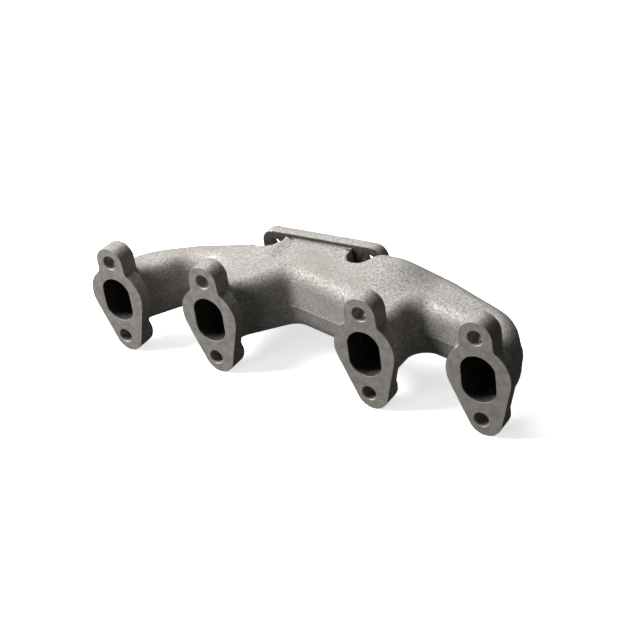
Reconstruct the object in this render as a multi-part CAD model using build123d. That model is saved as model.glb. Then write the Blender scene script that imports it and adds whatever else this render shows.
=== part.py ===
"""Cast iron exhaust manifold for an in-line four-cylinder head, with a four-bolt turbocharger flange.

Frame: origin in the cylinder-head joint face, midway between ports 2 and 3 and midway between the
upper and lower stud holes. +X runs along the head from port 1 to port 4, +Y points away from the
head towards the turbocharger, and +Z is up. All sizes are in millimetres.

The real manifold is a single casting. It is divided here where a founder would name its regions:
four port flanges, four runners, a collector in three lengths and a turbo flange. Neighbouring
solids meet face to face and never overlap.
"""

import os

from build123d import *

# ---- driving dimensions -------------------------------------------------------------------------
BORE_PITCH = 88.0  # cylinder spacing of the engine, which ports 1-2 and 3-4 follow
MIDDLE_PITCH = 133.5  # ports 2 and 3 stand further apart, because their valves are mirrored
PORT_X = [
    -MIDDLE_PITCH / 2 - BORE_PITCH,
    -MIDDLE_PITCH / 2,
    MIDDLE_PITCH / 2,
    MIDDLE_PITCH / 2 + BORE_PITCH,
]

STUD_Z = 32.65  # stud holes stand this far above and below the port centre
STUD_R = 5.5  # clearance holes for the head studs

PORT_WIDTH = 26.0  # port window in the joint face
PORT_HEIGHT = 37.0
PORT_SIDE = 17.0  # length of the window's straight sides
PORT_CORNER_R = 6.0

PLATE_T = 11.0  # port flange plate
PLATE_R = 24.2  # half width of the plate round the port
PLATE_ARC_Z = 3.0  # the plate's upper arc is centred this far above the port
UPPER_LOBE_R = 12.4
LOWER_LOBE_R = 12.6
LOWER_LOBE_SHIFT = 2.5  # the lower lobe stands this far to one side of its stud
NECK_R = 6.0  # fillet between the upper lobe and the plate
UPPER_BOSS_T = 16.5  # depth of the stud bosses from the joint face
LOWER_BOSS_T = 17.0
FACE_CHAMFER = 0.7

PARTING_Z = -3.0  # the mould's parting plane, where the casting is widest
MOULD_DEPTH = 35.0  # each mould half is drawn this deep, then cut to the body's height
BODY_DRAFT = 7.0  # degrees, above and below the parting plane
RUNNER_HALF = 19.0  # half width of a runner at the parting plane
BODY_BOTTOM = -24.5
TOP_AT_TURBO = 28.5  # height of the crown, which stands over the turbo flange
TOP_FAR_OUT = 20.0  # and what it falls to, CROWN_REACH away from there
CROWN_REACH = 300.0
CROWN_SHOULDER = 60.0  # how far the crown stays high, and how early it turns level again
CROWN_FOOT = 20.0
TOP_ROUND = 13.0  # roundings of the long edges of the body
BOTTOM_ROUND = 13.0
WALL = 5.5
PLAN_START_Y = -20.0  # the body is drawn from here and then trimmed to the plate's back

TURBO_X = -17.5  # centre of the turbo flange
TURBO_Z = -4.0
TURBO_NEAR_Y = 86.0
TURBO_FACE_Y = 96.0
TURBO_LAND_T = 2.0  # the land in front of the flange, and its step in from the edge
TURBO_LAND_STEP = 2.8
TURBO_WIDTH = 108.0
TURBO_HEIGHT = 72.0
TURBO_CORNER_R = 10.0
TURBO_BOLTS_X = 84.6
TURBO_BOLTS_Z = 49.2
TURBO_BOLT_R = 5.5
TURBO_EDGE_CHAMFER = 1.0
INLET_WIDTH = 50.0
INLET_HEIGHT = 36.0
INLET_CORNER_R = 12.0
POCKET_R = 13.2  # clearance pockets for the heads of the turbo bolts
POCKET_FRONT_Y = 68.5
POCKET_SHIFT_X = -1.0  # the pockets stand slightly to one side of their bolts
NECK_START_Y = 66.0  # the body swells here to meet the turbo flange's land

# The body in plan at the parting plane, as corners and their roundings: up runner 1, through the
# three arches between the runners, round the end of runner 4 and home along the back.
BODY_PLAN = [
    (PORT_X[0] + RUNNER_HALF, PLAN_START_Y, 0.0),
    (PORT_X[0] + RUNNER_HALF, 10.5, 15.0),
    (-115.5, 41.0, 14.0),
    (PORT_X[1] - RUNNER_HALF, 47.0, 11.0),
    (PORT_X[1] - RUNNER_HALF, PLAN_START_Y, 0.0),
    (PORT_X[1] + RUNNER_HALF, PLAN_START_Y, 0.0),
    (PORT_X[1] + RUNNER_HALF, 14.5, 15.0),
    (-20.3, 43.5, 9.0),
    (PORT_X[2] - RUNNER_HALF, 26.0, 18.0),
    (PORT_X[2] - RUNNER_HALF, PLAN_START_Y, 0.0),
    (PORT_X[2] + RUNNER_HALF, PLAN_START_Y, 0.0),
    (PORT_X[2] + RUNNER_HALF, 43.5, 9.0),
    (PORT_X[3] - RUNNER_HALF, 31.0, 13.0),
    (PORT_X[3] - RUNNER_HALF, PLAN_START_Y, 0.0),
    (172.5, PLAN_START_Y, 0.0),
    (172.5, 53.0, 50.0),
    (92.0, 90.5, 50.0),
    (-72.0, 86.0, 25.0),
    (-119.0, 72.5, 60.0),
    (PORT_X[0] - RUNNER_HALF, 44.0, 36.0),
    (PORT_X[0] - RUNNER_HALF, PLAN_START_Y, 0.0),
]

# Where the casting is divided into its named regions
FLANGE_END_Y = 17.0  # each flange region takes in its stud bosses
RUNNER_2_END_Y = 30.0
RUNNER_3_END_Y = 28.0
HALF_ZONE = 35.0  # half the width of the blocks that cut out one port's regions
FAR = 400.0  # beyond any part of the casting
TALL = 100.0  # above and below any part of it
OUTER_RUNNER_END_X = 112.0  # runners 1 and 4 end here
COLLECTOR_LEFT_X = -74.0
COLLECTOR_RIGHT_X = 39.0


def block(x_range, y_range, z_range=(-TALL, TALL)):
    """A box between the given limits."""
    (x_low, x_high), (y_low, y_high), (z_low, z_high) = x_range, y_range, z_range
    middle = ((x_low + x_high) / 2, (y_low + y_high) / 2, (z_low + z_high) / 2)
    return Pos(*middle) * Box(x_high - x_low, y_high - y_low, z_high - z_low)


def rod(x, z, radius, y_low, y_high):
    """A round bar along Y."""
    bar = Cylinder(radius, y_high - y_low, rotation=(90, 0, 0))
    return Pos(x, (y_low + y_high) / 2, z) * bar


def height_limit(drop):
    """All that lies between the body's level bottom and its crowned top.

    The top rises gently towards the turbo flange."""
    low, high, bottom = TOP_FAR_OUT - drop, TOP_AT_TURBO - drop, BODY_BOTTOM + drop
    with BuildPart() as limit:
        with BuildSketch(Plane.XZ):
            with BuildLine():
                Bezier((0, high), (CROWN_SHOULDER, high), (CROWN_FOOT, low), (CROWN_REACH, low))
                Polyline((CROWN_REACH, low), (CROWN_REACH, bottom), (0, bottom), (0, high))
            make_face()
        revolve(axis=Axis.Z)
    seam_behind = Rot(0, 0, 90)  # keeps the seam of the turned face off the body
    return Pos(TURBO_X, TURBO_NEAR_Y, 0) * seam_behind * limit.part


def inset_plan(inset):
    """The body's plan drawn in by a wall's thickness, as corners and their roundings."""
    corners = [Vector(x, y) for x, y, _ in BODY_PLAN]
    drawn_in, radii = [], []
    for i, corner in enumerate(corners):
        before = (corner - corners[i - 1]).normalized()
        after = (corners[(i + 1) % len(corners)] - corner).normalized()
        turn = before.cross(after).Z
        inward = before.rotate(Axis.Z, 90) + after.rotate(Axis.Z, 90)
        reach = inset / (1 + before.dot(after))
        drawn_in.append(corner + inward * reach)
        radius = BODY_PLAN[i][2]
        radii.append(radius and (radius - inset if turn > 0 else radius + inset))
    return drawn_in, radii


def body_solid(inset, drop, top_round, bottom_round):
    """The runners and collector as one solid, drawn in by inset in plan and by drop in height."""
    corners, radii = inset_plan(inset)
    with BuildSketch(Plane.XY.offset(PARTING_Z)) as plan:
        with BuildLine():
            FilletPolyline(corners, radius=radii, close=True)
        make_face()
    half = extrude(plan.sketch, amount=MOULD_DEPTH, taper=BODY_DRAFT)
    other_half = mirror(half, about=Plane.XY.offset(PARTING_Z))
    body = (half + other_half) & height_limit(drop)
    front = PLAN_START_Y + inset + 1.0
    for turned, radius in ((-1, bottom_round), (1, top_round)):
        level = [f for f in body.faces() if turned * f.normal_at(f.center()).Z > 0.9][0]
        body = fillet([e for e in level.edges() if e.center().Y > front], radius)
    return body


def port_window(x, y_low, y_high):
    """The port passage: straight sides, arched top and bottom, rounded corners."""
    half_width, half_height, half_side = PORT_WIDTH / 2, PORT_HEIGHT / 2, PORT_SIDE / 2
    with BuildSketch(Plane.XZ) as window:
        with BuildLine():
            Line((-half_width, -half_side), (-half_width, half_side))
            ThreePointArc((-half_width, half_side), (0, half_height), (half_width, half_side))
            Line((half_width, half_side), (half_width, -half_side))
            ThreePointArc((half_width, -half_side), (0, -half_height), (-half_width, -half_side))
        make_face()
        fillet(window.vertices(), PORT_CORNER_R)
    passage = extrude(window.sketch, amount=y_high - y_low, dir=(0, 1, 0))
    return Pos(x, y_low, 0) * passage


def port_flange(x):
    """One port flange: an oval plate with a stud boss above and below the port."""
    with BuildSketch(Plane.XZ) as outline:
        with Locations((0, PLATE_ARC_Z)):
            Circle(PLATE_R)
        with Locations((LOWER_LOBE_SHIFT, -STUD_Z)):
            Circle(LOWER_LOBE_R)
        make_hull()  # the plate narrows straight to its lower lobe
        with Locations((0, STUD_Z)):
            Circle(UPPER_LOBE_R)
        with Locations((0, STUD_Z / 2)):
            Rectangle(2 * UPPER_LOBE_R, STUD_Z)
        necks = outline.vertices().filter_by(lambda v: PORT_SIDE < v.Z < STUD_Z)
        fillet(necks, NECK_R)
    plate = extrude(outline.sketch, amount=PLATE_T, dir=(0, 1, 0))
    flange = chamfer(plate.faces().sort_by(Axis.Y)[0].edges(), FACE_CHAMFER)
    flange += rod(0, STUD_Z, UPPER_LOBE_R, PLATE_T, UPPER_BOSS_T)
    lobe_side = (-UPPER_LOBE_R, UPPER_LOBE_R)
    flange += block(lobe_side, (PLATE_T, UPPER_BOSS_T), (PORT_HEIGHT / 2, STUD_Z))
    flange += rod(LOWER_LOBE_SHIFT, -STUD_Z, LOWER_LOBE_R, PLATE_T, LOWER_BOSS_T)
    for z in (STUD_Z, -STUD_Z):
        flange -= rod(0, z, STUD_R, -1, UPPER_BOSS_T + 1)
    return Pos(x, 0, 0) * flange


def turbo_outline(step):
    """The turbo flange's outline, stepped in all round."""
    with BuildSketch(Plane.XZ) as outline:
        RectangleRounded(TURBO_WIDTH - 2 * step, TURBO_HEIGHT - 2 * step, TURBO_CORNER_R - step)
    return outline.sketch


def turbo_flange():
    """The rectangular flange that the turbocharger bolts to, with the land in front of it."""
    land_y = TURBO_NEAR_Y - TURBO_LAND_T
    layers = []
    for y_low, y_high, step in (
        (TURBO_NEAR_Y, TURBO_FACE_Y, 0.0),
        (land_y, TURBO_NEAR_Y, TURBO_LAND_STEP),
    ):
        layer = extrude(turbo_outline(step), amount=y_high - y_low, dir=(0, 1, 0))
        layers.append(Pos(TURBO_X, y_low, TURBO_Z) * layer)
    plate, land = layers
    plate = chamfer(plate.faces().sort_by(Axis.Y)[-1].edges(), TURBO_EDGE_CHAMFER)
    return plate + land


def neck():
    """Where the body swells to the full width of the turbo flange's land."""
    swell = extrude(turbo_outline(TURBO_LAND_STEP), amount=TURBO_NEAR_Y - NECK_START_Y, dir=(0, 1, 0))
    return Pos(TURBO_X, NECK_START_Y, TURBO_Z) * swell & height_limit(0.0)


def inlet(y_low, y_high):
    """The undivided opening through the turbo flange."""
    with BuildSketch(Plane.XZ) as window:
        RectangleRounded(INLET_WIDTH, INLET_HEIGHT, INLET_CORNER_R)
    passage = extrude(window.sketch, amount=y_high - y_low, dir=(0, 1, 0))
    return Pos(TURBO_X, y_low, TURBO_Z) * passage


def bolt_pocket(x, z, grown=0.0):
    """Clearance for one turbo bolt's head: a round-nosed scoop that draws out up or down."""
    radius = POCKET_R + grown
    x = x + POCKET_SHIFT_X
    nose_y = POCKET_FRONT_Y + POCKET_R
    floor = abs(z - TURBO_Z) - POCKET_R - grown
    well = Pos(x, nose_y, floor + TALL / 2) * Cylinder(radius, TALL)
    well += block((x - radius, x + radius), (nose_y, TURBO_NEAR_Y + grown), (floor, floor + TALL))
    way = 1 if z > TURBO_Z else -1
    return Pos(0, 0, TURBO_Z) * (well if way > 0 else mirror(well, about=Plane.XY))


def bolt_places():
    """Centres of the four turbo bolts in the flange's plane."""
    return [
        (TURBO_X + side * TURBO_BOLTS_X / 2, TURBO_Z + level * TURBO_BOLTS_Z / 2)
        for side in (-1, 1)
        for level in (-1, 1)
    ]


# ---- the casting --------------------------------------------------------------------------------
behind_plates = block((-FAR, FAR), (PLATE_T, FAR))
casting = (body_solid(0.0, 0.0, TOP_ROUND, BOTTOM_ROUND) + neck()) & behind_plates
for x in PORT_X:
    casting += port_flange(x)
for x, z in bolt_places():
    casting -= bolt_pocket(x, z)

# the turbo flange stands in front of the pockets, so they cut its land but not its plate
turbo = turbo_flange()
for x, z in bolt_places():
    turbo -= bolt_pocket(x, z)
    turbo -= rod(x, z, TURBO_BOLT_R, TURBO_NEAR_Y - 1, TURBO_FACE_Y + 1)
casting -= turbo

# the gas passages, kept a wall's thickness away from the bolt pockets
core = body_solid(WALL, WALL, TOP_ROUND - WALL, BOTTOM_ROUND - WALL) & behind_plates
for x, z in bolt_places():
    core -= bolt_pocket(x, z, grown=WALL)
casting -= core
for x in PORT_X:
    casting -= port_window(x, -1.0, PLATE_T + 2 * WALL)
throat = inlet(TURBO_NEAR_Y - 4 * WALL, TURBO_FACE_Y + 1.0)
casting -= throat
turbo -= throat

# ---- the named regions, each written to its own file --------------------------------------------
nodes = {"turbo_flange": turbo}
runner_zones = [
    block((-FAR, -OUTER_RUNNER_END_X), (FLANGE_END_Y, FAR)),
    block((PORT_X[1] - HALF_ZONE, PORT_X[1] + HALF_ZONE), (FLANGE_END_Y, RUNNER_2_END_Y)),
    block((PORT_X[2] - HALF_ZONE, PORT_X[2] + HALF_ZONE), (FLANGE_END_Y, RUNNER_3_END_Y)),
    block((OUTER_RUNNER_END_X, FAR), (FLANGE_END_Y, FAR)),
]
collector = casting & block((-FAR, FAR), (FLANGE_END_Y, FAR))
for number, (x, zone) in enumerate(zip(PORT_X, runner_zones), start=1):
    flange_zone = block((x - HALF_ZONE, x + HALF_ZONE), (0, FLANGE_END_Y))
    nodes[f"port_flange_{number}"] = casting & flange_zone
    nodes[f"runner_{number}"] = casting & zone
    collector -= zone
nodes["collector_left"] = collector & block((-FAR, COLLECTOR_LEFT_X), (0, FAR))
nodes["collector_middle"] = collector & block((COLLECTOR_LEFT_X, COLLECTOR_RIGHT_X), (0, FAR))
nodes["collector_right"] = collector & block((COLLECTOR_RIGHT_X, FAR), (0, FAR))

os.makedirs("parts", exist_ok=True)
for name, shape in nodes.items():
    print(name, [round(solid.volume) for solid in shape.solids()])
    export_step(shape, f"parts/{name}.step")
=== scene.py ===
"""Cast iron exhaust manifold: the sand casting, its machined faces and holes, and a studio stage.

The casting is grown from the frame's own nodes as one blank. The blank gets the roundings, parting
ridge and skin that a sand mould leaves. Then its faces are machined, its holes are drilled, and it
is divided into the regions that the frame names. All sizes are in millimetres in the properties
and in metres in the meshes.
"""

import math

import bpy
import numpy as np
from bpy.props import FloatProperty, FloatVectorProperty, IntProperty, PointerProperty
from mathutils import Euler, Matrix, Vector


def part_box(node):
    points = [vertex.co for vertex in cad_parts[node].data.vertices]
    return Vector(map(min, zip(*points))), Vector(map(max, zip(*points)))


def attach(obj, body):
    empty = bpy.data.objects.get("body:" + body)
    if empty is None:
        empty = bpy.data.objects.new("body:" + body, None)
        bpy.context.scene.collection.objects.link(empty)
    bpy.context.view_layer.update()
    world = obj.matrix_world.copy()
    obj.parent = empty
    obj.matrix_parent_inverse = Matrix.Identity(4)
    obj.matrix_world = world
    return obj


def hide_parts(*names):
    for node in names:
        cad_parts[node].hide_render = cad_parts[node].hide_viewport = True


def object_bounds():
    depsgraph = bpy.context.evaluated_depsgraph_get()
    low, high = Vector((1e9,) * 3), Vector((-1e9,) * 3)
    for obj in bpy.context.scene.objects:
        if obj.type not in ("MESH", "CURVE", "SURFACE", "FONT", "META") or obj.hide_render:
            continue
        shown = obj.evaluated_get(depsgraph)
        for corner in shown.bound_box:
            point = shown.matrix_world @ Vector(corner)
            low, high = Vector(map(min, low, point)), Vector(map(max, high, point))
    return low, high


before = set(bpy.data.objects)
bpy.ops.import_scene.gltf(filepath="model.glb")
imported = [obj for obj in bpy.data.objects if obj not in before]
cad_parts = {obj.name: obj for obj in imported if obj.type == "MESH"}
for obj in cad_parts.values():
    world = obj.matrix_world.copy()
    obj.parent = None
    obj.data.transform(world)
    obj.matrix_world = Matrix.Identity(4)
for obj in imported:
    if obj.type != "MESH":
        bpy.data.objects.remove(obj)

bl_info = {
    "name": "Exhaust manifold",
    "version": (1, 0, 0),
    "blender": (4, 5, 0),
    "location": "3D View > Sidebar > Manifold",
    "description": "Casts, machines and divides an exhaust manifold, and sets up its stage",
    "category": "Object",
}

MM = 0.001
CAD_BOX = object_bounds()
BLANK = "casting_blank"
BODY = "root"
# The third material paints the shade in the passages and on the turbo flange's front.
CAST, MACHINED, PAINTED_SHADE = 0, 1, 2  # places of the three materials on every piece
PORTS = [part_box(f"port_flange_{number}") for number in (1, 2, 3, 4)]
PORT_X = [(low.x + high.x) / 2 for low, high in PORTS]
FLANGE_END_Y = PORTS[0][1].y
TURBO_LOW, TURBO_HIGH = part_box("turbo_flange")
TURBO_X, TURBO_Z = (TURBO_LOW.x + TURBO_HIGH.x) / 2, (TURBO_LOW.z + TURBO_HIGH.z) / 2
FAR = 0.4  # beyond any part of the casting
HALF_FLANGE = 35 * MM  # from a port's middle to clear of its flange, short of the next one
SMOOTH_BELOW = math.radians(38)  # meeting faces are shaded as one up to this angle


# ---- sizes and colours that a user may change ---------------------------------------------------
def size(name, description, default, **limits):
    """A length in millimetres."""
    return FloatProperty(name=name, description=description, default=default, **limits)


def colour(name, description, default):
    return FloatVectorProperty(
        name=name, description=description, default=default, subtype="COLOR", min=0.0, max=1.0
    )


class CastingSizes(bpy.types.PropertyGroup):
    """What the mould leaves on the casting."""

    grid: size("Mesh grid", "Spacing of the casting's surface mesh, in mm", 1.0, min=0.5)
    stock: size("Stock", "Extra metal on the faces before they are machined, in mm", 3.0)
    soft_passes: IntProperty(
        name="Softening", description="How far the mould rounds corners", default=14, min=0
    )
    even_passes: IntProperty(
        name="Evening", description="Passes that even out the surface mesh", default=4, min=0
    )
    right_shoulder: size("Right shoulder", "Rise of the top right of the turbo flange, in mm", 9.5)
    left_shoulder: size("Left shoulder", "Rise of the top left of the turbo flange, in mm", 3.4)
    end_fall: size("End fall", "Fall of the top at the far end of runner 1, in mm", 2.5)
    parting_z: size("Parting height", "Height of the mould's parting plane, in mm", -3.0)
    parting_width: size("Parting width", "Half width of the parting ridge, in mm", 0.75)
    parting_ridge: size("Parting ridge", "Height of the parting ridge, in mm", 0.45)
    skin_depth: size("Skin depth", "Height of the casting's uneven skin, in mm", 0.22)
    skin_grain: size("Skin grain", "Size of the skin's lumps, in mm", 3.0)


class MachiningSizes(bpy.types.PropertyGroup):
    """Faces and holes cut in the casting."""

    stud_z: size("Stud height", "Stud holes above and below the port centre, in mm", 32.65)
    stud_radius: size("Stud radius", "Radius of the stud holes, in mm", 5.5)
    bolt_pitch_x: size("Bolt pitch across", "Between turbo bolts across, in mm", 84.6)
    bolt_pitch_z: size("Bolt pitch up", "Between turbo bolts upwards, in mm", 49.2)
    bolt_radius: size("Bolt radius", "Radius of the turbo bolt holes, in mm", 5.5)
    mouth: size("Mouth chamfer", "Chamfer at the mouth of each hole, in mm", 0.5)
    plate_edge: size("Turbo plate edge", "Rounding of the turbo flange's edges, in mm", 0.9)
    land_step: size("Land step", "How far the turbo flange's land stands in, in mm", 2.8)
    plate_near: size("Turbo plate start", "Where the turbo flange's plate begins, in mm", 86.0)
    corner_radius: size("Turbo plate corners", "Radius of the turbo flange's corners, in mm", 10.0)
    inlet_width: size("Inlet width", "Width of the turbo inlet, in mm", 50.0)
    inlet_height: size("Inlet height", "Height of the turbo inlet, in mm", 36.0)
    passage_width: size("Passage width", "Width of the passages near the ports, in mm", 29.0)
    passage_height: size("Passage height", "Height of the passages near the ports, in mm", 39.5)
    inlet_corner: size("Inlet corners", "Radius of the inlet's corners, in mm", 12.0)
    pocket_radius: size("Pocket radius", "Radius of the bolt pockets, in mm", 13.2)
    pocket_shift: size("Pocket shift", "Sideways offset of the bolt pockets, in mm", -1.0)


class IronColours(bpy.types.PropertyGroup):
    """Colours of the rough and the machined iron, and of the painted shade."""

    # Bright is the blasted grain, and also the painted highlight along the joint face's edge.
    bright: colour("Bright grain", "Blasted grain of the rough iron", (0.47, 0.45, 0.42))
    dark: colour("Dark grain", "Pits between the grains", (0.10, 0.092, 0.085))
    # The next colour is painted shade, for the passages and the turbo flange's front.
    inside: colour("Inside", "Sooty skin of the passages", (0.030, 0.027, 0.024))
    oxide: colour("Oxide", "Brown bloom in sheltered places", (0.17, 0.135, 0.11))
    cut: colour("Cut iron", "Freshly machined iron", (0.47, 0.44, 0.405))
    cut_dark: colour("Stained cut iron", "Stains on the machined faces", (0.24, 0.22, 0.20))


class StageSettings(bpy.types.PropertyGroup):
    """Camera, lights and floor."""

    camera_place: FloatVectorProperty(
        name="Camera place",
        description="Where the camera stands",
        default=(0.53297, -0.69430, 0.53400),
        subtype="TRANSLATION",
        unit="LENGTH",
    )
    camera_turn: FloatProperty(
        name="Camera turn",
        description="Heading of the camera, from +Y towards -X",
        default=math.radians(36.12),
        subtype="ANGLE",
    )
    camera_dip: FloatProperty(
        name="Camera dip",
        description="How far the camera looks down",
        default=math.radians(30.48),
        subtype="ANGLE",
    )
    camera_roll: FloatProperty(
        name="Camera roll",
        description="How far the camera leans",
        default=math.radians(8.55),
        subtype="ANGLE",
    )
    lens: FloatProperty(name="Lens", description="Focal length, in mm", default=82.6)
    key_power: FloatProperty(
        name="Top light", description="Power of the light overhead", default=34.0, subtype="POWER"
    )
    fill_power: FloatProperty(
        name="Front light", description="Power of the light on the left", default=7.5, subtype="POWER"
    )
    rim_power: FloatProperty(
        name="Back light", description="Power of the light behind", default=10.0, subtype="POWER"
    )
    floor: colour("Floor", "Colour of the floor", (0.93, 0.93, 0.93))


# ---- hand work ----------------------------------------------------------------------------------
def take(*pieces):
    """Selects only these objects, and makes the first one active."""
    bpy.ops.object.select_all(action="DESELECT")
    for piece in pieces:
        piece.select_set(True)
    bpy.context.view_layer.objects.active = pieces[0]


def named(name, *materials):
    """Names the active object and gives it its materials."""
    piece = bpy.context.active_object
    piece.name = piece.data.name = name
    piece.data.materials.clear()
    for material in materials:
        piece.data.materials.append(material)
    return piece


def twin(piece, name):
    """A copy of an object, with a mesh of its own."""
    copy = bpy.data.objects.new(name, piece.data.copy())
    copy.data.name = name
    bpy.context.scene.collection.objects.link(copy)
    return copy


def block(name, x, y, z):
    """A plain box between the given limits, in metres. It only ever cuts other pieces."""
    low, high = Vector((x[0], y[0], z[0])), Vector((x[1], y[1], z[1]))
    bpy.ops.object.select_all(action="DESELECT")
    bpy.ops.mesh.primitive_cube_add(size=1.0, location=(low + high) / 2)
    box = named(name)
    box.scale = high - low
    bpy.ops.object.transform_apply(location=True, rotation=True, scale=True)
    return box


def drill(name, x, z, radius, mouth, y_mouth, y_end):
    """A drill along Y whose mouth end flares, to cut a chamfered hole from y_mouth to y_end."""
    lead = 3 * MM  # how far the drill stands out of the mouth
    outward = math.copysign(1.0, y_mouth - y_end)
    bpy.ops.object.select_all(action="DESELECT")
    bpy.ops.mesh.primitive_cylinder_add(
        vertices=48,
        radius=radius,
        depth=abs(y_end - y_mouth) - mouth,
        location=(x, (y_end + y_mouth - outward * mouth) / 2, z),
        rotation=(math.pi / 2, 0, 0),
    )
    tool = named(name)
    bpy.ops.object.transform_apply(location=True, rotation=True, scale=True)
    pick(tool, lambda at, out: out[:, 1] * outward > 0.9, faces=True)
    for reach, spread in ((mouth, 1 + mouth / radius), (lead, 1.0)):
        bpy.ops.mesh.extrude_region_move(
            TRANSFORM_OT_translate={"value": (0, outward * reach, 0)}
        )
        bpy.ops.transform.resize(value=(spread, 1, spread))
    bpy.ops.object.mode_set(mode="OBJECT")
    return tool


def pick(piece, test, faces=False):
    """Opens a mesh in edit mode with only the chosen vertices or faces selected.

    The test gets arrays of places and normals, and says which of them to take. The selection is
    made twice, as changing between vertices and faces in edit mode loses the first one."""
    take(piece)
    mesh = piece.data
    parts = mesh.polygons if faces else mesh.vertices
    at, out = np.empty(3 * len(parts), np.float32), np.empty(3 * len(parts), np.float32)
    parts.foreach_get("center" if faces else "co", at)
    parts.foreach_get("normal", out)
    chosen = np.asarray(test(at.reshape(-1, 3), out.reshape(-1, 3)), bool)
    for group in (mesh.vertices, mesh.edges, mesh.polygons):
        group.foreach_set("select", np.zeros(len(group), bool))
    parts.foreach_set("select", chosen)
    bpy.ops.object.mode_set(mode="EDIT")
    bpy.ops.mesh.select_mode(type="FACE" if faces else "VERT")
    bpy.ops.object.mode_set(mode="OBJECT")
    parts.foreach_set("select", chosen)
    bpy.ops.object.mode_set(mode="EDIT")
    return int(chosen.sum())


def finish_with(piece, kind, **settings):
    """Adds a modifier, sets it and applies it."""
    take(piece)
    modifier = piece.modifiers.new(kind.lower(), kind)
    for name, value in settings.items():
        setattr(modifier, name, value)
    bpy.ops.object.modifier_apply(modifier=modifier.name)


def carve(piece, cutter, operation="DIFFERENCE"):
    """Cuts a piece with another one, which is used up."""
    finish_with(piece, "BOOLEAN", operation=operation, object=cutter, solver="MANIFOLD")
    bpy.data.meshes.remove(cutter.data)
    if not piece.data.polygons:
        raise RuntimeError(f"nothing is left of {piece.name}")


def ramp(values, start, full):
    """Rises smoothly from 0 at start to 1 at full, which may be the lower of the two."""
    share = np.clip((values - start) / (full - start), 0.0, 1.0)
    return share * share * (3 - 2 * share)


def vertex_group(piece, name, weigh):
    """Gives a piece a vertex group whose weights, in tenths, come from the vertices' places."""
    at = np.empty(3 * len(piece.data.vertices), np.float32)
    piece.data.vertices.foreach_get("co", at)
    weights = np.clip(weigh(at.reshape(-1, 3)), 0.0, 1.0)
    group = piece.vertex_groups.new(name=name)
    for step in range(11):
        near = np.flatnonzero(np.rint(weights * 10) == step)
        group.add(near.tolist(), step / 10, "REPLACE")


def stud_places():
    """Centres of the eight stud holes, in metres."""
    height = bpy.context.scene.machining_sizes.stud_z * MM
    return [(x, level * height) for x in PORT_X for level in (1, -1)]


def bolt_places():
    """Centres of the four turbo bolt holes, in metres."""
    sizes = bpy.context.scene.machining_sizes
    half_x, half_z = sizes.bolt_pitch_x * MM / 2, sizes.bolt_pitch_z * MM / 2
    return [(TURBO_X + s * half_x, TURBO_Z + t * half_z) for s in (-1, 1) for t in (-1, 1)]


# ---- materials ----------------------------------------------------------------------------------
class Level:
    """A number that varies over a surface. Arithmetic on it adds Math nodes."""

    def __init__(self, finish, socket):
        self.finish, self.socket = finish, socket

    def math(self, operation, other):
        return self.finish.node("ShaderNodeMath", {"operation": operation}, {0: self, 1: other})

    def __add__(self, other):
        return self.math("ADD", other)

    def __sub__(self, other):
        return self.math("SUBTRACT", other)

    def __mul__(self, other):
        return self.math("MULTIPLY", other)

    def between(self, low, high, to_low=0.0, to_high=1.0):
        """Rises smoothly from to_low to to_high as the level goes from low to high."""
        settings = {"interpolation_type": "SMOOTHSTEP"}
        ends = {"Value": self, "From Min": low, "From Max": high, "To Min": to_low, "To Max": to_high}
        return self.finish.node("ShaderNodeMapRange", settings, ends)


class Finish:
    """One material and the nodes that make it."""

    def __init__(self, name):
        self.material = bpy.data.materials.new(name)
        self.material.use_nodes = True
        self.tree = self.material.node_tree
        self.tree.nodes.clear()
        self.place = self.node("ShaderNodeTexCoord", output="Object")

    def node(self, kind, settings=None, values=None, output=0):
        """Adds a node: its settings first, then the values or links of its sockets."""
        made = self.tree.nodes.new(kind)
        for name, value in (settings or {}).items():
            setattr(made, name, value)
        for name, value in (values or {}).items():
            if isinstance(value, Level):
                self.tree.links.new(value.socket, made.inputs[name])
            else:
                made.inputs[name].default_value = value
        return Level(self, made.outputs[output]) if made.outputs else None

    def noise(self, grain, detail=4.0, roughness=0.6, stretch=(1.0, 1.0, 1.0)):
        """Cloudy noise whose lumps are about this many millimetres across."""
        where = self.node(
            "ShaderNodeMapping", {"vector_type": "POINT"}, {"Vector": self.place, "Scale": stretch}
        )
        values = {
            "Vector": where,
            "Scale": 1 / (grain * MM),
            "Detail": detail,
            "Roughness": roughness,
        }
        return self.node("ShaderNodeTexNoise", {"noise_dimensions": "3D"}, values)

    def painted_edge_highlight(self, width):
        """Painted highlight: one at the machined joint face, falling to nothing this many millimetres
        behind it.
        """
        depth = self.node("ShaderNodeSeparateXYZ", None, {"Vector": self.place}, output=1)
        return depth.between(0.0, width * MM, 1.0, 0.0)

    def blend(self, share, first, second):
        """A colour from first to second. The mix's colours are its seventh and eighth sockets."""
        values = {0: share}
        for socket, value in ((6, first), (7, second)):
            values[socket] = value if isinstance(value, Level) else (*value, 1.0)
        return self.node("ShaderNodeMix", {"data_type": "RGBA"}, values, output=2)

    def bump(self, height, depth, strength=1.0):
        """A normal from a height in shares of a depth in millimetres."""
        values = {"Height": height, "Distance": depth * MM, "Strength": strength}
        return self.node("ShaderNodeBump", None, values)

    def close(self, **surface):
        """Joins everything to the surface shader."""
        values = {name.replace("_", " "): value for name, value in surface.items()}
        shader = self.node("ShaderNodeBsdfPrincipled", None, values)
        self.node("ShaderNodeOutputMaterial", None, {"Surface": shader})
        return self.material


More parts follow.
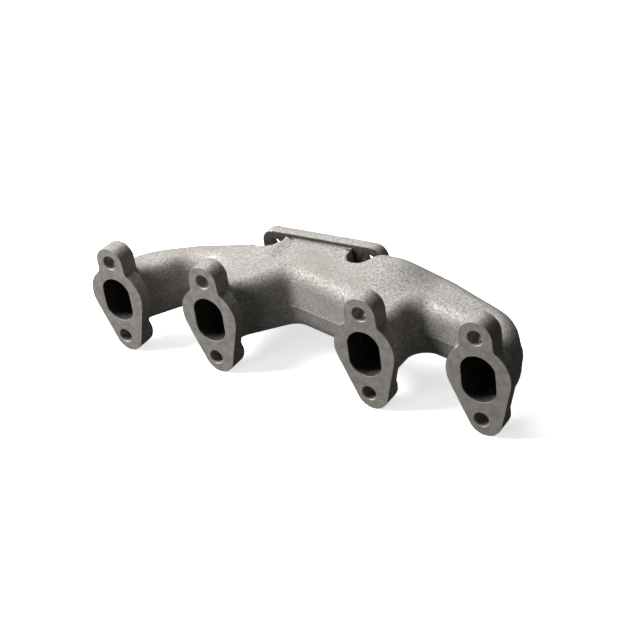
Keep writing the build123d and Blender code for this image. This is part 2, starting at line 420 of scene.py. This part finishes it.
def cast_iron():
    """Sand-cast iron, blasted grey: a speckled grain with a brown bloom in sheltered places, and a
    painted highlight along the edge of the machined joint face.
    """
    colours = bpy.context.scene.iron_colours
    finish = Finish("sand_cast_iron")
    grain = finish.noise(0.75, detail=3.0, roughness=0.75)
    lumps = finish.noise(2.0, detail=5.0, roughness=0.65)
    patches = finish.noise(38.0, detail=3.0, roughness=0.5)
    pits = finish.noise(0.9, detail=2.0, roughness=0.5).between(0.60, 0.72)
    shine = grain.between(0.34, 0.64) * 0.68 + lumps.between(0.34, 0.68) * 0.32
    blasted = finish.blend(shine, colours.dark, colours.bright)
    pitted = finish.blend(pits * 0.7, blasted, colours.dark)
    bloom = patches.between(0.46, 0.68) * lumps.between(0.35, 0.60)
    tinted = finish.blend(bloom * 0.35, pitted, colours.oxide)
    # Painted highlight: the skin is brightened along the edge of the machined joint face.
    edge_highlighted = finish.blend(finish.painted_edge_highlight(1.1) * 0.55, tinted, colours.bright)
    height = grain * 0.45 + lumps * 0.65 - pits * 0.5
    return finish.close(
        Base_Color=edge_highlighted,
        Metallic=0.35,
        Roughness=shine.between(0.0, 1.0, 0.72, 0.50),
        Normal=finish.bump(height, 0.35, 0.75),
    )


def painted_shade_iron():
    """Dark skin that paints the shade within the passages and on the turbo flange's front faces, with
    oxide spots and a painted highlight along the joint face's edge.
    """
    colours = bpy.context.scene.iron_colours
    finish = Finish("painted_shade_iron")
    grain = finish.noise(0.8, detail=3.0, roughness=0.7)
    lumps = finish.noise(3.5, detail=4.0, roughness=0.6)
    # Painted shade: the darkest tone of the passages, grained towards the dark grain colour.
    painted_shade_tone = finish.blend(grain.between(0.35, 0.70) * 0.5, colours.inside, colours.dark)
    rusty = finish.blend(lumps.between(0.50, 0.70) * 0.4, painted_shade_tone, colours.oxide)
    # Painted highlight: the dark skin is brightened along the edge of the machined joint face.
    edge_highlighted = finish.blend(finish.painted_edge_highlight(1.4) * 0.8, rusty, colours.bright)
    return finish.close(
        Base_Color=edge_highlighted,
        Metallic=0.1,
        Roughness=grain.between(0.2, 0.8, 0.85, 0.70),
        Normal=finish.bump(grain * 0.4 + lumps * 0.6, 0.5, 0.8),
    )


def machined_iron():
    """A faced joint: fine cutter lines, open grain and faint stains."""
    colours = bpy.context.scene.iron_colours
    finish = Finish("machined_iron")
    lines = finish.noise(0.45, detail=2.0, roughness=0.6, stretch=(0.08, 1.0, 1.0))
    grain = finish.noise(0.35, detail=2.0, roughness=0.7)
    stains = finish.noise(7.0, detail=5.0, roughness=0.62)
    spots = finish.noise(1.3, detail=1.0, roughness=0.5).between(0.66, 0.74)
    tone = stains.between(0.36, 0.66) * 0.6 + grain.between(0.3, 0.7) * 0.4
    faced = finish.blend(tone, colours.cut_dark, colours.cut)
    spotted = finish.blend(spots * 0.45, faced, colours.dark)
    height = lines * 0.6 + grain * 0.4 - spots * 0.6
    return finish.close(
        Base_Color=spotted,
        Metallic=0.45,
        Roughness=tone.between(0.0, 1.0, 0.62, 0.44),
        Normal=finish.bump(height, 0.12, 0.6),
    )


def studio_floor():
    """Pale matt board."""
    finish = Finish("studio_floor")
    board, worn = bpy.context.scene.stage_settings.floor, (0.8, 0.8, 0.8)
    shade = finish.noise(600.0, detail=2.0).between(0.2, 0.8, 0.0, 0.04)
    return finish.close(
        Base_Color=finish.blend(shade, board, worn),
        Roughness=0.85,
        Emission_Color=(1.0, 1.0, 1.0, 1.0),
        Emission_Strength=0.7,
    )


# ---- one operator for each stage of the work ----------------------------------------------------
class MANIFOLD_OT_cast(bpy.types.Operator):
    """Cast the blank: one body with rounded corners, a parting ridge and an uneven skin"""

    bl_idname = "manifold.cast"
    bl_label = "Cast the blank"

    def execute(self, context):
        sizes, cuts = context.scene.casting_sizes, context.scene.machining_sizes
        stock, same_place = sizes.stock * MM, 0.001 * MM
        copies = [twin(node, BLANK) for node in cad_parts.values()]
        take(*copies)
        bpy.ops.object.join()
        blank = named(BLANK)
        pick(blank, lambda at, out: np.ones(len(at)))
        bpy.ops.mesh.remove_doubles(threshold=same_place)
        bpy.ops.object.mode_set(mode="OBJECT")
        self.leave_stock(blank, stock)
        self.plug_holes(blank, cuts, stock)
        finish_with(blank, "REMESH", mode="VOXEL", voxel_size=sizes.grid * MM)
        self.shape_top(blank, sizes)
        self.soften(blank, sizes)
        self.raise_parting(blank, sizes)
        self.roughen(blank, sizes)
        return {"FINISHED"}

    def leave_stock(self, blank, stock):
        """Moves the joint face and the turbo face outwards, to be machined back later."""
        joint_depth, turbo_depth = 0.9 * MM, 1.2 * MM
        for test, move in (
            (lambda at, out: at[:, 1] < joint_depth, -stock),
            (lambda at, out: at[:, 1] > TURBO_HIGH.y - turbo_depth, stock),
        ):
            if not pick(blank, test):
                raise RuntimeError("the blank has no face to leave stock on")
            bpy.ops.transform.translate(value=(0, move, 0))
            bpy.ops.object.mode_set(mode="OBJECT")

    def plug_holes(self, blank, cuts, stock):
        """Fills the stud and bolt holes, which a casting doesn't have before it is drilled."""
        wider, inset, short_of_runner = 1.5 * MM, 0.4 * MM, 1.0 * MM
        plugs = []
        for places, radius, y_low, y_high in (
            (stud_places(), cuts.stud_radius * MM, -stock, FLANGE_END_Y - short_of_runner),
            (bolt_places(), cuts.bolt_radius * MM, cuts.plate_near * MM, TURBO_HIGH.y + stock),
        ):
            for x, z in places:
                bpy.ops.object.select_all(action="DESELECT")
                bpy.ops.mesh.primitive_cylinder_add(
                    vertices=40,
                    radius=radius + wider,
                    depth=y_high - y_low - 2 * inset,
                    location=(x, (y_low + y_high) / 2, z),
                    rotation=(math.pi / 2, 0, 0),
                )
                plugs.append(named("plug"))
        take(blank, *plugs)
        bpy.ops.object.join()

    def shape_top(self, blank, sizes):
        """Raises the shoulders beside the turbo flange, and lets the top of runner 1 fall away.

        Each pair says where a change starts and where it is full, in millimetres."""
        right_rise, right_fall, right_depth = (2, 48), (96, 52), (35, 80)
        left_rise, left_fall, left_depth = (-74, -62), (-36, -50), (48, 66)
        end_rise, end_depth = (-135, -172), (14, 22)
        upper_part = (-2, 16)
        at = np.empty(3 * len(blank.data.vertices), np.float32)
        blank.data.vertices.foreach_get("co", at)
        x, y, z = at.reshape(-1, 3).T / MM
        right = ramp(x, *right_rise) * ramp(x, *right_fall) * ramp(y, *right_depth)
        left = ramp(x, *left_rise) * ramp(x, *left_fall) * ramp(y, *left_depth)
        end = ramp(x, *end_rise) * ramp(y, *end_depth)
        lift = right * sizes.right_shoulder + left * sizes.left_shoulder - end * sizes.end_fall
        at[2::3] += lift * ramp(z, *upper_part) * MM
        blank.data.vertices.foreach_set("co", at)
        blank.data.update()

    def soften(self, blank, sizes):
        """Rounds the corners, but leaves the turbo flange's edges crisp."""
        finish_with(blank, "SMOOTH", factor=0.5, iterations=sizes.even_passes)
        soft_until, crisp_from = 76 * MM, 83 * MM
        vertex_group(blank, "soft", lambda at: (crisp_from - at[:, 1]) / (crisp_from - soft_until))
        finish_with(
            blank, "SMOOTH", factor=0.5, iterations=sizes.soft_passes, vertex_group="soft"
        )

    def raise_parting(self, blank, sizes):
        """The low ridge where the two mould halves met, on the walls only."""
        height, half = sizes.parting_z * MM, sizes.parting_width * MM
        walls_from, walls_to, steep = FLANGE_END_Y, 83 * MM, 0.5

        def on_parting(at, out):
            on_plane = np.abs(at[:, 2] - height) < half
            on_wall = (np.abs(out[:, 2]) < steep) & (at[:, 1] > walls_from) & (at[:, 1] < walls_to)
            return on_plane & on_wall

        pick(blank, on_parting)
        bpy.ops.transform.shrink_fatten(value=sizes.parting_ridge * MM)
        bpy.ops.object.mode_set(mode="OBJECT")
        finish_with(blank, "SMOOTH", factor=0.4, iterations=2)

    def roughen(self, blank, sizes):
        """The uneven skin that sand leaves."""
        lumps = bpy.data.textures.new("sand_skin", "CLOUDS")
        lumps.noise_scale = sizes.skin_grain * MM
        lumps.noise_depth = 3
        finish_with(
            blank, "DISPLACE", texture=lumps, strength=sizes.skin_depth * MM, mid_level=0.6
        )


class MANIFOLD_OT_machine(bpy.types.Operator):
    """Face the joint and turbo faces, and drill the stud holes"""

    bl_idname = "manifold.machine"
    bl_label = "Machine the blank"

    def execute(self, context):
        blank, cuts = bpy.data.objects[BLANK], context.scene.machining_sizes
        wide, radius, mouth = (-FAR, FAR), cuts.stud_radius * MM, cuts.mouth * MM
        carve(blank, block("facing_cut", wide, (-FAR, 0.0), wide))
        carve(blank, block("turbo_cut", wide, (TURBO_HIGH.y, FAR), wide))
        for x, z in stud_places():
            carve(blank, drill("stud_drill", x, z, radius, mouth, 0.0, 2 * FLANGE_END_Y))
        return {"FINISHED"}


def divide(name, node, keep, leave=()):
    """Cuts one region out of the blank and makes it the piece that stands for a node."""
    piece = twin(bpy.data.objects[BLANK], name)
    carve(piece, block("keep", *keep), "INTERSECT")
    for limits in leave:
        carve(piece, block("leave", *limits))
    return present(piece, node)


def finish_of(face, holes, passage_x, passage_z):
    """Which of the three materials a face has: machined, the dark one that paints the shade in the
    passages and on the turbo flange's front, or as cast.
    """
    at, out = face.center, face.normal
    touch, flat, wall, turned_in, turned_back = 0.01 * MM, 0.99, 0.9, 0.4, -0.6
    if abs(out.y) > flat and not touch < at.y < TURBO_HIGH.y - touch:
        return MACHINED
    in_flange = at.y < FLANGE_END_Y or at.y > TURBO_LOW.y
    if in_flange and abs(out.y) < wall:
        if any(math.hypot(at.x - x, at.z - z) < reach for x, z, reach in holes):
            return MACHINED
    across = min((x - at.x for x in PORT_X), key=abs)
    inward = across * out.x - at.z * out.z > 0 and out.y < turned_in
    # Faces turned into a port's passage get the dark material: painted shade within the passages.
    inside = abs(at.z) < passage_z and abs(across) < passage_x and inward
    # The turbo flange's front faces, shaded by the body, get the same dark material: painted shade.
    sheltered = at.y > TURBO_LOW.y - MM and out.y < turned_back
    return PAINTED_SHADE if inside or sheltered else CAST


def present(piece, node):
    """Gives a piece its materials, its shading and its place in the frame."""
    piece.data.materials.clear()
    for material in ("sand_cast_iron", "machined_iron", "painted_shade_iron"):
        piece.data.materials.append(bpy.data.materials[material])
    cuts = bpy.context.scene.machining_sizes
    beyond_mouth = cuts.mouth + 0.2
    holes = [(*place, (cuts.stud_radius + beyond_mouth) * MM) for place in stud_places()]
    holes += [(*place, (cuts.bolt_radius + beyond_mouth) * MM) for place in bolt_places()]
    passage_x, passage_z = cuts.passage_width * MM / 2, cuts.passage_height * MM / 2
    for face in piece.data.polygons:
        face.material_index = finish_of(face, holes, passage_x, passage_z)
    take(piece)
    bpy.ops.object.shade_smooth_by_angle(angle=SMOOTH_BELOW)
    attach(piece, BODY)
    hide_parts(node)
    return piece


def zone(low_x, high_x, low_y, high_y=FAR):
    """Limits of a region that runs the casting's full height."""
    return (low_x, high_x), (low_y, high_y), (-FAR, FAR)


def runner_zones():
    """Where each runner lies, from the frame's own divisions."""
    ends = [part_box(f"runner_{number}") for number in (1, 2, 3, 4)]
    inner = [
        zone(PORT_X[place] - HALF_FLANGE, PORT_X[place] + HALF_FLANGE, FLANGE_END_Y, ends[place][1].y)
        for place in (1, 2)
    ]
    return [
        zone(-FAR, ends[0][1].x, FLANGE_END_Y),
        *inner,
        zone(ends[3][0].x, FAR, FLANGE_END_Y),
    ]


def turbo_zones():
    """The space that the turbo flange's land and plate take up."""
    cuts = bpy.context.scene.machining_sizes
    near, step = cuts.plate_near * MM, cuts.land_step * MM
    low, high = TURBO_LOW, TURBO_HIGH
    plate = (low.x, high.x), (near, FAR), (low.z, high.z)
    land = (low.x + step, high.x - step), (low.y, near + step), (low.z + step, high.z - step)
    return [plate, land]


def turbo_space():
    """What is cut out of the blank for the turbo flange. It clears away the blank's own flange."""
    clear_left, clear_right = 1.0 * MM, 0.3 * MM
    plate, land = turbo_zones()
    low_x, high_x = plate[0]
    return [zone(low_x - clear_left, high_x + clear_right, *plate[1]), zone(*land[0], *land[1])]


class MANIFOLD_OT_port_flanges(bpy.types.Operator):
    """Divide off the four port flanges"""

    bl_idname = "manifold.port_flanges"
    bl_label = "Port flanges"

    def execute(self, context):
        for number, x in enumerate(PORT_X, start=1):
            keep = zone(x - HALF_FLANGE, x + HALF_FLANGE, -MM, FLANGE_END_Y)
            divide(f"cast_port_flange_{number}", f"port_flange_{number}", keep)
        return {"FINISHED"}


class MANIFOLD_OT_runners(bpy.types.Operator):
    """Divide off the four runners"""

    bl_idname = "manifold.runners"
    bl_label = "Runners"

    def execute(self, context):
        for number, keep in enumerate(runner_zones(), start=1):
            divide(f"cast_runner_{number}", f"runner_{number}", keep)
        return {"FINISHED"}


class MANIFOLD_OT_collector(bpy.types.Operator):
    """Divide the collector into its left, middle and right lengths"""

    bl_idname = "manifold.collector"
    bl_label = "Collector"

    def execute(self, context):
        zones = runner_zones()
        low_x, high_x = zones[0][0][1], zones[3][0][0]
        cut_1, cut_2 = (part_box("collector_middle")[end].x for end in (0, 1))
        lengths = {"left": (low_x, cut_1), "middle": (cut_1, cut_2), "right": (cut_2, high_x)}
        leave = [zones[1], zones[2], *turbo_space()]
        for name, (start, end) in lengths.items():
            keep = zone(start, end, FLANGE_END_Y)
            near = [limits for limits in leave if limits[0][0] < end and limits[0][1] > start]
            divide(f"cast_collector_{name}", f"collector_{name}", keep, near)
        return {"FINISHED"}


class MANIFOLD_OT_turbo_flange(bpy.types.Operator):
    """Make the turbo flange: a plate and its land, cut by the bolt pockets, drilled and bored"""

    bl_idname = "manifold.turbo_flange"
    bl_label = "Turbo flange"

    def execute(self, context):
        cuts = context.scene.machining_sizes
        plate_zone, land_zone = turbo_zones()
        near, step, edge = cuts.plate_near * MM, cuts.land_step * MM, cuts.plate_edge * MM
        corner, land_edge = cuts.corner_radius * MM, edge / 3
        plate = self.slab(plate_zone, near, TURBO_HIGH.y, corner, edge)
        land = self.slab(land_zone, TURBO_LOW.y, near + step, corner - step, land_edge)
        for x, z in bolt_places():
            carve(land, self.pocket(x, z, cuts))
        carve(plate, land, "UNION")
        radius, mouth = cuts.bolt_radius * MM, cuts.mouth * MM
        for x, z in bolt_places():
            carve(plate, drill("bolt_drill", x, z, radius, mouth, TURBO_HIGH.y, near - step))
        half_x, half_z = cuts.inlet_width * MM / 2, cuts.inlet_height * MM / 2
        inlet_zone = (
            (TURBO_X - half_x, TURBO_X + half_x),
            (0.0, FAR),
            (TURBO_Z - half_z, TURBO_Z + half_z),
        )
        carve(plate, self.slab(inlet_zone, 0.0, FAR, cuts.inlet_corner * MM, edge=0.0))
        plate.name = plate.data.name = "cast_turbo_flange"
        present(plate, "turbo_flange")
        return {"FINISHED"}

    def slab(self, limits, y_low, y_high, corner, edge):
        """A block with rounded corners, and with its faces' edges eased."""
        slab = block("slab", limits[0], (y_low, y_high), limits[2])
        self.round_edges(slab, lambda along: np.abs(along[:, 1]) > 0.9, corner, segments=10)
        if edge:
            self.round_edges(slab, lambda along: np.abs(along[:, 1]) < 0.1, edge, segments=3)
        return slab

    def round_edges(self, piece, test, radius, segments):
        """Bevels the edges whose direction passes the test."""
        take(piece)
        mesh = piece.data
        at = np.array([vertex.co for vertex in mesh.vertices])
        ends = np.array([edge.vertices for edge in mesh.edges])
        along = at[ends[:, 1]] - at[ends[:, 0]]
        along /= np.linalg.norm(along, axis=1)[:, None]
        bpy.ops.object.mode_set(mode="EDIT")
        bpy.ops.mesh.select_mode(type="EDGE")
        bpy.ops.mesh.select_all(action="DESELECT")
        bpy.ops.object.mode_set(mode="OBJECT")
        mesh.edges.foreach_set("select", test(along))
        bpy.ops.object.mode_set(mode="EDIT")
        bpy.ops.mesh.bevel(offset=radius, segments=segments, offset_type="OFFSET")
        bpy.ops.object.mode_set(mode="OBJECT")

    def pocket(self, x, z, cuts):
        """The space for one bolt's head, as far as it cuts the land."""
        radius, shift = cuts.pocket_radius * MM, cuts.pocket_shift * MM
        way = math.copysign(1.0, z - TURBO_Z)
        height = sorted((z - way * radius, TURBO_Z + way * FAR))
        width = (x + shift - radius, x + shift + radius)
        return block("pocket", width, (0.0, cuts.plate_near * MM), height)


class MANIFOLD_OT_stage(bpy.types.Operator):
    """Set up the floor, the lights and the camera"""

    bl_idname = "manifold.stage"
    bl_label = "Stage"

    def execute(self, context):
        settings = context.scene.stage_settings
        floor_width, gap = 60.0, 0.2 * MM
        bpy.ops.object.select_all(action="DESELECT")
        bpy.ops.mesh.primitive_plane_add(size=floor_width, location=(0, 0, CAD_BOX[0].z - gap))
        floor = named("studio_floor", studio_floor())
        floor.visible_diffuse = floor.visible_glossy = False
        self.lights(settings)
        self.camera(context, settings)
        return {"FINISHED"}

    def lights(self, settings):
        """Three soft boxes on the left: overhead, low in front, and behind."""
        aim = Vector((0, 0.04, 0))
        for name, place, width, power in (
            ("top_light", (-0.85, -0.25, 0.95), 0.7, settings.key_power),
            ("front_light", (-0.50, -1.1, 0.12), 0.5, settings.fill_power),
            ("back_light", (-0.5, 0.9, 0.9), 0.6, settings.rim_power),
        ):
            away = (aim - Vector(place)).to_track_quat("-Z", "Y").to_euler()
            bpy.ops.object.light_add(type="AREA", location=place, rotation=away)
            light = bpy.context.active_object
            light.name = name
            light.data.size, light.data.energy = width, power
        world = bpy.data.worlds.new("studio")
        world.use_nodes = True
        backdrop = world.node_tree.nodes["Background"]
        backdrop.inputs["Color"].default_value = (1.0, 0.99, 0.98, 1.0)
        backdrop.inputs["Strength"].default_value = 0.07
        bpy.context.scene.world = world

    def camera(self, context, settings):
        """The camera's heading, dip and roll, about its own place."""
        ahead = Euler((math.pi / 2 - settings.camera_dip, 0, settings.camera_turn)).to_matrix()
        lean = Matrix.Rotation(-settings.camera_roll, 3, "Z")
        bpy.ops.object.camera_add(
            location=settings.camera_place, rotation=(ahead @ lean).to_euler()
        )
        camera = context.active_object
        camera.name = "camera"
        camera.data.lens = settings.lens
        camera.data.clip_start, camera.data.clip_end = 0.01, 100.0
        context.scene.camera = camera
        context.scene.view_settings.view_transform = "Standard"


class MANIFOLD_PT_panel(bpy.types.Panel):
    """The manifold's sizes, colours and steps"""

    bl_idname = "MANIFOLD_PT_panel"
    bl_label = "Exhaust manifold"
    bl_space_type = "VIEW_3D"
    bl_region_type = "UI"
    bl_category = "Manifold"

    def draw(self, context):
        for holder in PROPERTIES:
            box = self.layout.box()
            box.label(text=holder.replace("_", " ").capitalize())
            group = getattr(context.scene, holder)
            for name in group.__annotations__:
                box.prop(group, name)
        for step in STEPS:
            self.layout.operator(step.bl_idname)


PROPERTIES = {
    "casting_sizes": CastingSizes,
    "machining_sizes": MachiningSizes,
    "iron_colours": IronColours,
    "stage_settings": StageSettings,
}
STEPS = (
    MANIFOLD_OT_cast,
    MANIFOLD_OT_machine,
    MANIFOLD_OT_port_flanges,
    MANIFOLD_OT_runners,
    MANIFOLD_OT_collector,
    MANIFOLD_OT_turbo_flange,
    MANIFOLD_OT_stage,
)


def register():
    for holder, group in PROPERTIES.items():
        bpy.utils.register_class(group)
        setattr(bpy.types.Scene, holder, PointerProperty(type=group))
    for shown in (*STEPS, MANIFOLD_PT_panel):
        bpy.utils.register_class(shown)


def unregister():
    for shown in (MANIFOLD_PT_panel, *reversed(STEPS)):
        bpy.utils.unregister_class(shown)
    for holder, group in PROPERTIES.items():
        delattr(bpy.types.Scene, holder)
        bpy.utils.unregister_class(group)


def main():
    """Makes the whole scene."""
    register()
    for make in (cast_iron, machined_iron, painted_shade_iron):
        make()
    bpy.ops.manifold.cast()
    bpy.ops.manifold.machine()
    bpy.ops.manifold.port_flanges()
    bpy.ops.manifold.runners()
    bpy.ops.manifold.collector()
    bpy.ops.manifold.turbo_flange()
    blank = bpy.data.objects[BLANK]
    bpy.data.meshes.remove(blank.data)
    bpy.ops.manifold.stage()


if __name__ == "__main__":
    main()
